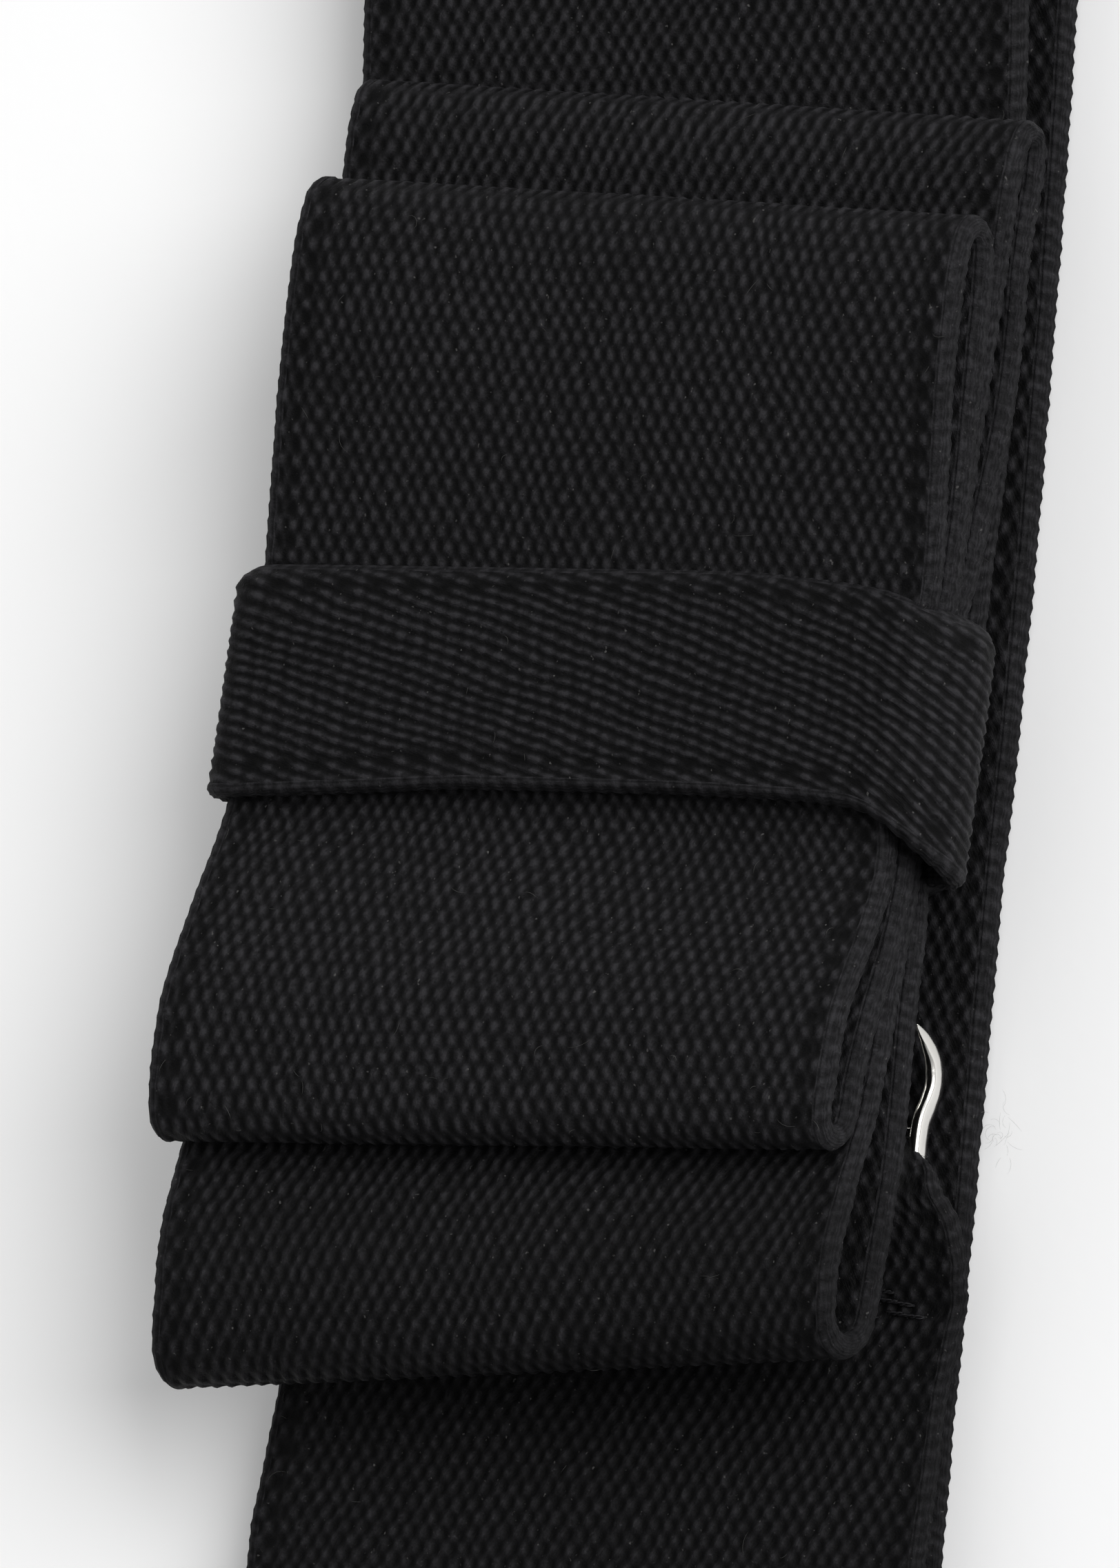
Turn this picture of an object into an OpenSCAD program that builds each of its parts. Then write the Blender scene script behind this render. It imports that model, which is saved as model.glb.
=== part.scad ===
// Ready-made bow tie on an elastic neckband, lying closed and flat.
// The band lies along X, the bow faces +Z, and Z = 0 is the surface under the back layer.
// The origin is the middle of the band's footprint, under the bow's centre wrap.

/* [Webbing] */
// Width of the elastic webbing
webbing_w = 30; // [25:0.5:35]
// Thickness of the elastic webbing
webbing_t = 1; // [0.8:0.05:1.1]

/* [Neckband] */
// Length of the closed band, fold to fold
band_len = 170; // [150:1:190]
// Outside height of the band's two end folds
fold_h = 9; // [8:0.5:10]
// Sideways shift of the strap end that holds the hook
tail_shift = -0.4; // [-0.8:0.1:0]

/* [Bow] */
// Width of the bow's looped webbing
bow_w = 31.2; // [30:0.1:31.5]
// Sideways shift of the bow on the band
bow_shift = 0.8; // [0:0.1:0.8]
// Reach of the lower tier towards +X
lower_up = 25.8; // [24.5:0.1:26.5]
// Reach of the lower tier towards -X
lower_down = 26.1; // [25:0.1:28]
// Reach of the upper tier towards +X
upper_up = 21.3; // [19.5:0.1:22]
// Reach of the upper tier towards -X
upper_down = 17.2; // [17:0.1:19]
// Width of the centre wrap along the band
wrap_w = 8.6; // [7:0.1:9]
// Turn of the bow on the band, seen from above
bow_turn = -4.5; // [-6:0.5:0]

/* [Clasp] */
// Overall width of the hook plate
hook_w = 24.8; // [24:0.1:26]
// Thickness of the hook plate
hook_t = 1.2; // [0.8:0.1:1.3]
// Overall width of the wire ring
ring_w = 22.5; // [21.5:0.1:22.5]
// Diameter of the ring's wire
wire_d = 1.3; // [1:0.1:1.4]

/* [Stitching] */
// Thickness of a sewn stitch
stitch_t = 0.4; // [0.3:0.05:0.5]
// Spacing of the stitches along a bar-tack
stitch_pitch = 1; // [0.8:0.1:2]

/* [Hidden] */

half_t = webbing_t / 2;
ply_gap = 0.15;
ply = webbing_t + ply_gap;
thread_out = 0.05; // how far a seam stitch stands out of its ply
arc_step = 15; // degrees between the points of a bend
tip_step = 30; // the same where a smooth curve then runs through them
curve_steps = 4;

// End folds of the band, and the places where its webbing bends and stretches
fold_r = (fold_h - webbing_t) / 2;
fold_x = (band_len - fold_h) / 2;
bend_gap = 1.3;
stretch_x = 70;
stretch_gap = 0.3;

// Heights of the plies' middles where the wrap pinches them
strap_z = 3.05;
wrap_low_z = strap_z + ply;
lower_low_z = wrap_low_z + ply;
lower_top_z = lower_low_z + ply;
upper_low_z = lower_top_z + ply;
upper_top_z = upper_low_z + ply;
wrap_top_z = upper_top_z + ply;
pinch = wrap_w / 2;

// Clasp, in side view
hook_bar_x = -18.1;
hook_bar_z = 2.95;
hook_bar_d = 1.4;
hook_loop_r = hook_bar_d / 2 + ply_gap + half_t;
hook_leg_w = 0.7;
hook_leg_in = 0.4; // the legs stand in from the plate's sides
hook_slot_end = -15.9;
hook_end_w = hook_w - 2 * (hook_leg_w + hook_leg_in) - 0.4; // webbing gathered into the hook's slot
ring_rear_x = -8.5;
ring_rear_z = 3.2;
ring_pitch = 5.12; // between its two long bars
ring_slope = 5.6; // its front bar lies in the hook, a little higher than its rear bar
ring_loop_r = wire_d / 2 + 0.1 + half_t;
ring_end_w = ring_w - 2 * wire_d - 1.2; // webbing gathered into the ring
tongue_w = ring_w - 2 * wire_d - 1.4;
tongue_x = -13.8; // past here the ring's sides pass between the tongue and the ears
ear_w = 0.6;
gather_run = 2;

// Smooth curve through points: each point's direction is weighted by the steps beside it
function unit(v) = v / norm(v);
function dir(a, b, c) =
  unit(unit(b - a) * norm(c - b) + unit(c - b) * norm(b - a));
function dirs(p, closed) =
  let (n = len(p))
  [for (i = [0:n - 1])
    closed ? dir(p[(i + n - 1) % n], p[i], p[(i + 1) % n])
    : i == 0 ? unit(p[1] - p[0])
    : i == n - 1 ? unit(p[n - 1] - p[n - 2])
    : dir(p[i - 1], p[i], p[i + 1])];
function between(a, b, ma, mb, t) =
  let (d = norm(b - a))
  a * (2 * t * t * t - 3 * t * t + 1) + ma * d * (t * t * t - 2 * t * t + t)
  + b * (3 * t * t - 2 * t * t * t) + mb * d * (t * t * t - t * t);
function curve(p, closed = false) =
  let (n = len(p), m = dirs(p, closed))
  [for (i = [0:(closed ? n - 1 : n - 2)], k = [0:curve_steps - 1])
    between(p[i], p[(i + 1) % n], m[i], m[(i + 1) % n], k / curve_steps),
   if (!closed) p[n - 1]];

// Points beside a path, at distance d on its right-hand side
function beside(p, d, closed = false) =
  let (m = dirs(p, closed))
  [for (i = [0:len(p) - 1]) p[i] + d * [-m[i][1], m[i][0]]];
function reversed(p) = [for (i = [len(p) - 1:-1:0]) p[i]];
function arc(x, z, r, from, to, step = arc_step) =
  let (n = ceil(abs(to - from) / step))
  [for (i = [0:n]) let (a = from + (to - from) * i / n) [x + r * cos(a), z + r * sin(a)]];

// A strip of webbing along an open path, and a closed loop of it
module across(w) {
  rotate([90, 0, 0]) linear_extrude(height = w, center = true) children();
}
module strip(p, t, w) {
  across(w) polygon(concat(beside(p, t / 2), reversed(beside(p, -t / 2))));
}
module closed_loop(p, t, w) {
  difference() {
    across(w) polygon(beside(p, t / 2, true));
    across(w + 2) polygon(beside(p, -t / 2, true));
  }
}
module stitch_row(x, length, pitch, low, high, size_x) {
  count = floor(length / pitch);
  for (i = [0:count])
    translate([x, (i - count / 2) * pitch, (low + high) / 2])
      cube([size_x, stitch_t, high - low], center = true);
}
// Webbing gathered to a smaller width from x1 to x2, narrowing over a short run at both ends
module gathered(x1, x2, w) {
  difference() {
    children();
    for (s = [-1, 1])
      translate([0, 0, -fold_h / 2])
        linear_extrude(2 * fold_h)
          polygon([[x1 - gather_run, s * webbing_w / 2], [x1, s * w / 2], [x2, s * w / 2],
                   [x2 + gather_run, s * webbing_w / 2], [x2 + gather_run, s * webbing_w],
                   [x1 - gather_run, s * webbing_w]]);
  }
}

// Paths, as points [x, z] of the ply's middle
function back_path() =
  concat([[-stretch_x + stretch_gap, half_t]], arc(fold_x, fold_h / 2, fold_r, -90, 90));
function far_path() =
  concat([[-stretch_x, half_t]], arc(-fold_x, fold_h / 2, fold_r, -90, -270),
         [[-stretch_x - 4, fold_h - 1.1], [-stretch_x, fold_h - 1.5]]);
function tail_path() =
  concat(
    curve([[-stretch_x + stretch_gap, fold_h - 1.53], [-58, 6.15], [-46, 4.8], [-36, 3.75],
           [-28, 3.05], [-23.5, 2.85], [-20.7, 3.4],
           [hook_bar_x, hook_bar_z + hook_loop_r]]),
    arc(hook_bar_x, hook_bar_z, hook_loop_r, 75, -90),
    [[-20.5, 1.65], [-25, 1.65]]);
function strap_path() =
  concat(
    curve([[fold_x - bend_gap, fold_h - half_t], [66, 7.95], [52, 7.05], [40, 6.05],
           [30, 5.15], [24.5, 4.5], [20, 3.85], [16, 3.4], [10, 3.1], [4.3, strap_z],
           [-4.3, strap_z], [-6.4, 3.6], [ring_rear_x, ring_rear_z + ring_loop_r]]),
    arc(ring_rear_x, ring_rear_z, ring_loop_r, 105, 270),
    [[-6, 1.85], [1.5, 1.85]]);
function lower_path() =
  curve(concat(
    [[0, lower_low_z], [-pinch, lower_low_z], [-9, 5.55], [-14, 5.7], [-18, 6], [-22, 6.6]],
    arc(1.6 + half_t - lower_down, 8.4, 1.6, -90, -270, tip_step),
    [[-22, 10.1], [-19, 9.35], [-16, 8.35], [-12.5, 7.7], [-8, 6.95],
     [-pinch, lower_top_z], [0, lower_top_z], [pinch, lower_top_z], [10, 6.7], [16, 6.95],
     [20.5, 7.15]],
    arc(lower_up - half_t - 0.7, 6.45, 0.7, 90, -90, tip_step),
    [[20.5, 5.5], [16, 4.85], [10, 4.95], [pinch, lower_low_z]]), true);
function upper_path() =
  curve(concat(
    [[0, upper_low_z], [-pinch, upper_low_z], [-8, 8.25], [-11.5, 9.1], [-14.2, 9.55]],
    arc(1 + half_t - upper_down, 10.6, 1, -90, -270, tip_step),
    [[-14.2, 11.65], [-12, 11.5], [-8, 10.2], [-pinch, upper_top_z], [0, upper_top_z],
     [pinch, upper_top_z], [7.8, 9.3], [12, 10], [16, 10.45]],
    arc(upper_up - half_t - 0.9, 9.45, 0.9, 90, -90, tip_step),
    [[16, 8.1], [12, 7.85], [pinch, upper_low_z]]), true);
function wrap_path() =
  let (r = half_t + 0.4, y = bow_w / 2 + ply_gap + half_t - r,
       low = wrap_low_z + r, high = wrap_top_z - r)
  concat(arc(y, low, r, -90, 0), arc(y, high, r, 0, 90),
         arc(-y, high, r, 90, 180), arc(-y, low, r, 180, 270));
function hook_path() =
  curve([[hook_slot_end, 3], [-15, 2.85], [-14.2, 2.5], [-13.5, 2.4], [-12.6, 2.65],
         [-12.05, 3.3], [-11.9, 4.1]]);

// Back layer of the band, on the surface, and the end fold that it opens at
module neck_webbing() {
  color("#1c1c1e") strip(back_path(), webbing_t, webbing_w);
}

// End fold that is pulled away as the elastic stretches
module far_end_fold() {
  color("#1f1f22") strip(far_path(), webbing_t, webbing_w);
}

// Strap end that loops round the hook's bar
module hook_end_strap() {
  color("#232326")
    translate([0, tail_shift, 0])
      gathered(-19.9, 0, hook_end_w)
        strip(tail_path(), webbing_t, webbing_w);
}

module hook_end_bartack() {
  color("#33333a")
    translate([0, tail_shift, 0])
      stitch_row(-22.3, webbing_w - 4, stitch_pitch, 1.05, 3.5, 1.6);
}

// Stamped plate with a slot for the webbing and a lip that holds the ring
module hook() {
  color("#d8dade")
    translate([0, tail_shift, 0]) {
      translate([hook_bar_x, 0, hook_bar_z])
        rotate([90, 0, 0]) cylinder(d = hook_bar_d, h = hook_w - 2 * hook_leg_in, center = true, $fn = 48);
      for (s = [-1, 1])
        translate([(hook_bar_x + hook_slot_end) / 2,
                   s * (hook_w / 2 - hook_leg_in - hook_leg_w / 2), hook_bar_z])
          cube([hook_slot_end - hook_bar_x + 0.4, hook_leg_w, hook_t], center = true);
      difference() {
        strip(hook_path(), hook_t, hook_w);
        for (s = [-1, 1])
          translate([tongue_x + 2, s * (hook_w / 2 - ear_w + tongue_w / 2) / 2, hook_bar_z])
            cube([4, hook_w / 2 - ear_w - tongue_w / 2, 6], center = true);
      }
    }
}

// Front strap, from the bend at the +X fold to the loop round the ring
module front_strap() {
  color("#232326")
    gathered(-12, -7, ring_end_w)
      strip(strap_path(), webbing_t, webbing_w);
}

module ring_end_bartack() {
  color("#33333a") stitch_row(-5.7, ring_end_w, stitch_pitch, 1.25, 3.9, 1);
}

// Wire ring that the hook's lip catches, lying at a slight slope
module ring() {
  corner = 0.9;
  side_y = (ring_w - wire_d) / 2;
  color("#c9ccd1")
    translate([ring_rear_x, 0, ring_rear_z])
      rotate([0, ring_slope, 0]) {
        for (x = [0, -ring_pitch])
          translate([x, 0, 0])
            rotate([90, 0, 0])
              cylinder(d = wire_d, h = 2 * (side_y - corner), center = true, $fn = 48);
        for (s = [-1, 1]) {
          translate([-ring_pitch / 2, s * side_y, 0])
            rotate([0, 90, 0])
              cylinder(d = wire_d, h = ring_pitch - 2 * corner, center = true, $fn = 48);
          for (e = [0, 1])
            translate([e ? -corner : corner - ring_pitch, s * (side_y - corner), 0])
              rotate([0, 0, e ? (s > 0 ? 0 : -90) : (s > 0 ? 90 : 180)])
                rotate_extrude(angle = 90, $fn = 48)
                  translate([corner, 0]) circle(d = wire_d, $fn = 48);
        }
      }
}

// Places the bow on the band
module on_band() {
  translate([0, bow_shift, 0]) rotate([0, 0, bow_turn]) children();
}

// Lower, longer loop of the bow
module lower_tier() {
  color("#26262a")
    on_band() closed_loop(lower_path(), webbing_t, bow_w);
}

module lower_tier_seam() {
  color("#3a3a42")
    on_band()
      stitch_row(1.5, webbing_w - 6, 2 * stitch_pitch, lower_low_z - half_t - thread_out,
                 lower_low_z + half_t + thread_out, 1.2);
}

// Upper, shorter loop of the bow
module upper_tier() {
  color("#2a2a2e")
    on_band() closed_loop(upper_path(), webbing_t, bow_w);
}

module upper_tier_seam() {
  color("#3a3a42")
    on_band()
      stitch_row(-1.5, webbing_w - 6, 2 * stitch_pitch, upper_low_z - half_t - thread_out,
                 upper_low_z + half_t + thread_out, 1.2);
}

// Narrow band of webbing round the bow's middle
module centre_wrap() {
  color("#2e2e33")
    on_band()
      difference() {
        rotate([90, 0, 90]) linear_extrude(height = wrap_w, center = true)
          polygon(beside(wrap_path(), -half_t, true));
        rotate([90, 0, 90]) linear_extrude(height = wrap_w + 2, center = true)
          polygon(beside(wrap_path(), half_t, true));
      }
}

// Stitches that close the wrap, under the bow
module wrap_seam() {
  color("#3a3a42")
    on_band()
      for (x = [-3:1.5:3], y = [-1.5, 1.5])
        translate([x, y, wrap_low_z])
          cube([0.9, stitch_t, webbing_t + 2 * thread_out], center = true);
}

// Tacks that hold the bow on the front strap
module bow_tacks() {
  low = strap_z - half_t - thread_out;
  high = wrap_low_z + half_t + thread_out;
  color("#3a3a42")
    on_band()
      for (x = [-2.4, 2.4], y = [-10.6, -10, 10, 10.6])
        translate([x, y, (low + high) / 2])
          cube([1.8, 0.75 * stitch_t, high - low], center = true);
}

neck_webbing();
far_end_fold();
hook_end_strap();
hook_end_bartack();
hook();
front_strap();
ring_end_bartack();
ring();
lower_tier();
lower_tier_seam();
upper_tier();
upper_tier_seam();
centre_wrap();
wrap_seam();
bow_tacks();
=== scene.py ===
"""Looks of the ready-made bow tie: woven webbing, sewing thread, nickel clasp, floor, light and camera."""

import math

import bpy
import numpy as np
from mathutils import Matrix, Vector


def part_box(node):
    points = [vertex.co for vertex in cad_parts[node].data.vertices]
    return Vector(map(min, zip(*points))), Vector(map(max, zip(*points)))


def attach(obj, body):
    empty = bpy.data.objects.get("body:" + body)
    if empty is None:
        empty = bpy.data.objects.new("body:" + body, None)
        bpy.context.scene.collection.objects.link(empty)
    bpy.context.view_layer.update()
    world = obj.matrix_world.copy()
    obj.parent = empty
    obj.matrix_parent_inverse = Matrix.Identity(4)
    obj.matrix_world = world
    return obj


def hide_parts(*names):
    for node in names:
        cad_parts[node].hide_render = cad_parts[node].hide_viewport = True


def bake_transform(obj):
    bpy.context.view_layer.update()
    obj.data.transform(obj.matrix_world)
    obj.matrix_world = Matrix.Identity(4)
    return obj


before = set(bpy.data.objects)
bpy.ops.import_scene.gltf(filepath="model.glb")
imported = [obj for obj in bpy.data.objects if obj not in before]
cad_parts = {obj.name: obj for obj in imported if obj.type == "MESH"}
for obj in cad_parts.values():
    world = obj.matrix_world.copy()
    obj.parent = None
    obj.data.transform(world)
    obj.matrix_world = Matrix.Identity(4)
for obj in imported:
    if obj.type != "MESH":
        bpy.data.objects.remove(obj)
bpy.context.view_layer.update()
rng = np.random.default_rng(7)

MM = 0.001


# ---------------------------------------------------------------- sizes, in millimetres

def box_mm(node):
    low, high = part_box(node)
    return np.array(low) / MM, np.array(high) / MM


back_low, back_high = box_mm("neck_webbing")
hook_low, hook_high = box_mm("hook")
ring_low, ring_high = box_mm("ring")

WEB_W = back_high[1] - back_low[1]
FOLD_H = back_high[2]
BAND_HALF = back_high[0]
WEB_T = 1.0
THIN_T = 0.85
HALF_T = WEB_T / 2
PLY = WEB_T + 0.15
FOLD_R = (FOLD_H - WEB_T) / 2
FOLD_X = BAND_HALF - FOLD_H / 2
TAIL_SHIFT = (hook_low[1] + hook_high[1]) / 2

# Heights of the plies' middles where the wrap pinches them
STRAP_Z = 3.05
WRAP_LOW_Z = STRAP_Z + PLY
LOWER_LOW_Z = WRAP_LOW_Z + PLY
LOWER_TOP_Z = LOWER_LOW_Z + PLY
UPPER_LOW_Z = LOWER_TOP_Z + PLY
UPPER_TOP_Z = UPPER_LOW_Z + PLY
WRAP_TOP_Z = UPPER_TOP_Z + PLY

WRAP_W = 8.6
PINCH = WRAP_W / 2
BOW_TURN = math.radians(-4.5)
BOW_SHIFT = 0.8
BOW_W = 31.2
LOWER_UP, LOWER_DOWN = 25.8, 26.1
UPPER_UP, UPPER_DOWN = 21.3, 17.2

# The hook's bar and the ring's rear wire, as (x, z), and the loops of webbing round them
HOOK_BAR = (-18.1, 2.95)
HOOK_BAR_R = 0.7
HOOK_LOOP_R = HOOK_BAR_R + 0.15 + HALF_T
RING_REAR = (-8.5, 3.2)
WIRE_D = 1.3
RING_LOOP_R = WIRE_D / 2 + 0.1 + HALF_T
RING_END_W = 18.7

WRAP_LEFT, WRAP_RIGHT = 16.4, 16.6

# The weave: the pitch of the ribs across the webbing and of the rows along it, and the ribs' lean
RIBS = 42
RIB = WEB_W / RIBS
ROW = 0.632
WRAP_RIB = 0.47
WRAP_ROW = 0.78
LEAN = 0.47
RELIEF = 0.17

# How strong the rising lines, the falling lines and the rows are
WEAVE = (0.28, 0.22, 0.0)
LOWER_WEAVE = (0.31, 0.19, 0.0)
UPPER_WEAVE = (0.22, 0.24, 0.06)
WRAP_WEAVE = (0.30, 0.09, 0.13)

# The selvedge: how far it rounds off, its groove, its slow waver, a cord with fine lines along it,
# bumps, and a row of open holes inside it
EDGE_R, THIN_EDGE_R, WRAP_EDGE_R = 0.34, 0.26, 0.24
GROOVE = 0.03
WAVER = 0.06
CORD = 0.2
EDGE_LINE = 0.17
BUMP, BUMP_SINK, BUMP_NOISE = 0.10, 0.04, 0.035
HOLE = 0.85
HOLE_R = 0.3
HOLE_DEPTH = 0.95

# How far ribs and rows wander, as (broad, fine) amounts and sizes in ribs or rows
RIB_DRIFT, RIB_SIZE = (0.28, 0.13), (5, 1.7)
ROW_DRIFT, ROW_SIZE = (0.28, 0.12), (6, 1.9)

FIBRE_R = np.array([0.005, 0.009, 0.01, 0.01, 0.008, 0.004])


# ---------------------------------------------------------------- paths, as points (p, z)

def unit(v):
    return v / np.linalg.norm(v)


def curve(points, closed=False, steps=10):
    """A smooth curve through the points, as part.scad draws it."""
    p = [np.array(q, float) for q in points]
    n = len(p)

    def direction(i):
        if closed or 0 < i < n - 1:
            a, b, c = p[(i - 1) % n], p[i], p[(i + 1) % n]
            return unit(unit(b - a) * np.linalg.norm(c - b) + unit(c - b) * np.linalg.norm(b - a))
        return unit(p[1] - p[0]) if i == 0 else unit(p[-1] - p[-2])

    m = [direction(i) for i in range(n)]
    out = []
    for i in range(n if closed else n - 1):
        a, b = p[i], p[(i + 1) % n]
        ma, mb = m[i], m[(i + 1) % n]
        d = np.linalg.norm(b - a)
        for k in range(steps):
            t = k / steps
            out.append(a * (2 * t**3 - 3 * t**2 + 1) + ma * d * (t**3 - 2 * t**2 + t)
                       + b * (3 * t**2 - 2 * t**3) + mb * d * (t**3 - t**2))
    if not closed:
        out.append(p[-1])
    return out


def arc(x, z, r, start, end, step=15):
    n = math.ceil(abs(end - start) / step)
    turns = [math.radians(start + (end - start) * i / n) for i in range(n + 1)]
    return [(x + r * math.cos(a), z + r * math.sin(a)) for a in turns]


def back_path():
    """From the middle of the +X fold, along the surface, to the middle of the -X fold."""
    return (arc(FOLD_X, FOLD_H / 2, FOLD_R, 0, -90, 6)
            + [(x, HALF_T) for x in np.linspace(FOLD_X - 2, -FOLD_X + 2, 60)]
            + arc(-FOLD_X, FOLD_H / 2, FOLD_R, -90, -180, 6))


def tail_path():
    """From the middle of the -X fold, over the top, round the hook's bar to the cut end."""
    return (arc(-FOLD_X, FOLD_H / 2, FOLD_R, -180, -264, 6)
            + curve([(-FOLD_X + 1, FOLD_H - HALF_T), (-70, 7.5), (-58, 6.15), (-46, 4.8), (-36, 3.75),
                     (-28, 3.05), (-23.5, 2.85), (-20.7, 3.4), (HOOK_BAR[0], HOOK_BAR[1] + HOOK_LOOP_R)])
            + arc(*HOOK_BAR, HOOK_LOOP_R, 75, -90)
            + [(-20.5, 1.65), (-25, 1.65)])


def strap_path():
    """From the cut end under the bow, round the ring, up the front to the middle of the +X fold."""
    return ([(1.5, 1.85), (-6, 1.85)]
            + arc(*RING_REAR, RING_LOOP_R, 270, 105)
            + curve([(RING_REAR[0], RING_REAR[1] + RING_LOOP_R), (-6.4, 3.6), (-4.3, STRAP_Z),
                     (4.3, STRAP_Z), (10, 3.1), (16, 3.4), (20, 3.85), (24.5, 4.5), (30, 5.15),
                     (40, 6.05), (52, 7.05), (66, 7.95), (FOLD_X - 1, FOLD_H - HALF_T)])
            + arc(FOLD_X, FOLD_H / 2, FOLD_R, 84, 0, 6))


def lower_path():
    return curve(
        [(0, LOWER_LOW_Z), (-PINCH, LOWER_LOW_Z), (-9, 5.55), (-14, 5.7), (-18, 6), (-22, 6.6)]
        + arc(1.6 + HALF_T - LOWER_DOWN, 8.4, 1.6, -90, -270, 30)
        + [(-22, 10.1), (-19, 9.35), (-16, 8.35), (-12.5, 7.7), (-8, 6.95),
           (-PINCH, LOWER_TOP_Z), (0, LOWER_TOP_Z), (PINCH, LOWER_TOP_Z), (10, 6.7), (16, 6.95),
           (20.5, 7.15)]
        + arc(LOWER_UP - HALF_T - 0.7, 6.45, 0.7, 90, -90, 30)
        + [(20.5, 5.5), (16, 4.85), (10, 4.95), (PINCH, LOWER_LOW_Z)], closed=True)


def upper_path():
    return curve(
        [(0, UPPER_LOW_Z), (-PINCH, UPPER_LOW_Z), (-8, 8.25), (-11.5, 9.1), (-14.2, 9.55)]
        + arc(1 + HALF_T - UPPER_DOWN, 10.6, 1, -90, -270, 30)
        + [(-14.2, 11.65), (-12, 11.5), (-8, 10.2), (-PINCH, UPPER_TOP_Z), (0, UPPER_TOP_Z),
           (PINCH, UPPER_TOP_Z), (7.8, 9.3), (12, 10), (16, 10.45)]
        + arc(UPPER_UP - HALF_T - 0.9, 9.45, 0.9, 90, -90, 30)
        + [(16, 8.1), (12, 7.85), (PINCH, UPPER_LOW_Z)], closed=True)


def wrap_path():
    """Round the bow, from under its middle: sharp over its +Y edge, drawn in and round on the other."""
    left, right = WRAP_LEFT, WRAP_RIGHT
    low, tight, loose = WRAP_LOW_Z + 0.9, WRAP_TOP_Z - 1.0, WRAP_TOP_Z - 2.6
    return ([(0, WRAP_LOW_Z)] + arc(0.9 - left, low, 0.9, 270, 180)
            + arc(1.0 - left, tight, 1.0, 180, 90, 15)
            + arc(right - 2.6, loose, 2.6, 90, -20, 10) + arc(right - 3.2, low, 0.9, -20, -90))


# ---------------------------------------------------------------- webbing

def smooth_noise(u, v, size, seed):
    """Gentle noise from -1 to 1, with features about `size` wide."""
    grid = np.random.default_rng(seed).uniform(-1, 1, (64, 64))
    a, b = np.asarray(u) / size, np.asarray(v) / size
    i, j = np.floor(a).astype(int), np.floor(b).astype(int)
    fa, fb = a - i, b - j
    fa, fb = fa * fa * (3 - 2 * fa), fb * fb * (3 - 2 * fb)

    def at(m, n):
        return grid[(i + m) % 64, (j + n) % 64]

    low = at(0, 0) * (1 - fa) + at(1, 0) * fa
    high = at(0, 1) * (1 - fa) + at(1, 1) * fa
    return low * (1 - fb) + high * fb


def weave_height(u, v, ribs, rib, weave):
    """Relief of the cloth, near 0 in the holes and 1 on the beads, u ribs across and v rows along."""
    rising = np.cos(2 * np.pi * (u - LEAN * v))
    falling = np.cos(2 * np.pi * (u + (1 - LEAN) * v))
    h = 0.5 + weave[0] * rising + weave[1] * falling + weave[2] * np.cos(2 * np.pi * v)
    edge = np.minimum(u, ribs - u) * rib
    hole = np.exp(-((edge - HOLE) / HOLE_R) ** 2) * (0.5 + 0.5 * np.cos(np.pi * v)) ** 1.5
    h = h * (1 - HOLE_DEPTH * hole)
    cord = 0.6 + 0.15 * np.cos(2 * np.pi * edge / EDGE_LINE)
    return np.where(edge < CORD, cord, h)


def resample(path, step, closed):
    """Even points along a path, their normals, how far along they are, and the path's length."""
    p = np.array(path, float)
    if closed:
        p = np.vstack([p, p[:1]])
    keep = np.r_[True, np.linalg.norm(np.diff(p, axis=0), axis=1) > 1e-6]
    p = p[keep]
    s = np.r_[0, np.cumsum(np.linalg.norm(np.diff(p, axis=0), axis=1))]
    n = max(4, round(s[-1] / step))
    at = np.linspace(0, s[-1], n + 1)[:n if closed else n + 1]
    q = np.c_[np.interp(at, s, p[:, 0]), np.interp(at, s, p[:, 1])]
    if closed:
        t = np.roll(q, -1, 0) - np.roll(q, 1, 0)
    else:
        t = np.gradient(q, axis=0)
    t /= np.linalg.norm(t, axis=1)[:, None]
    if closed:
        for _ in range(3):
            t = (np.roll(t, 1, 0) + t * 2 + np.roll(t, -1, 0)) / 4
    return q, np.c_[-t[:, 1], t[:, 0]], at, s[-1]


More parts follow.
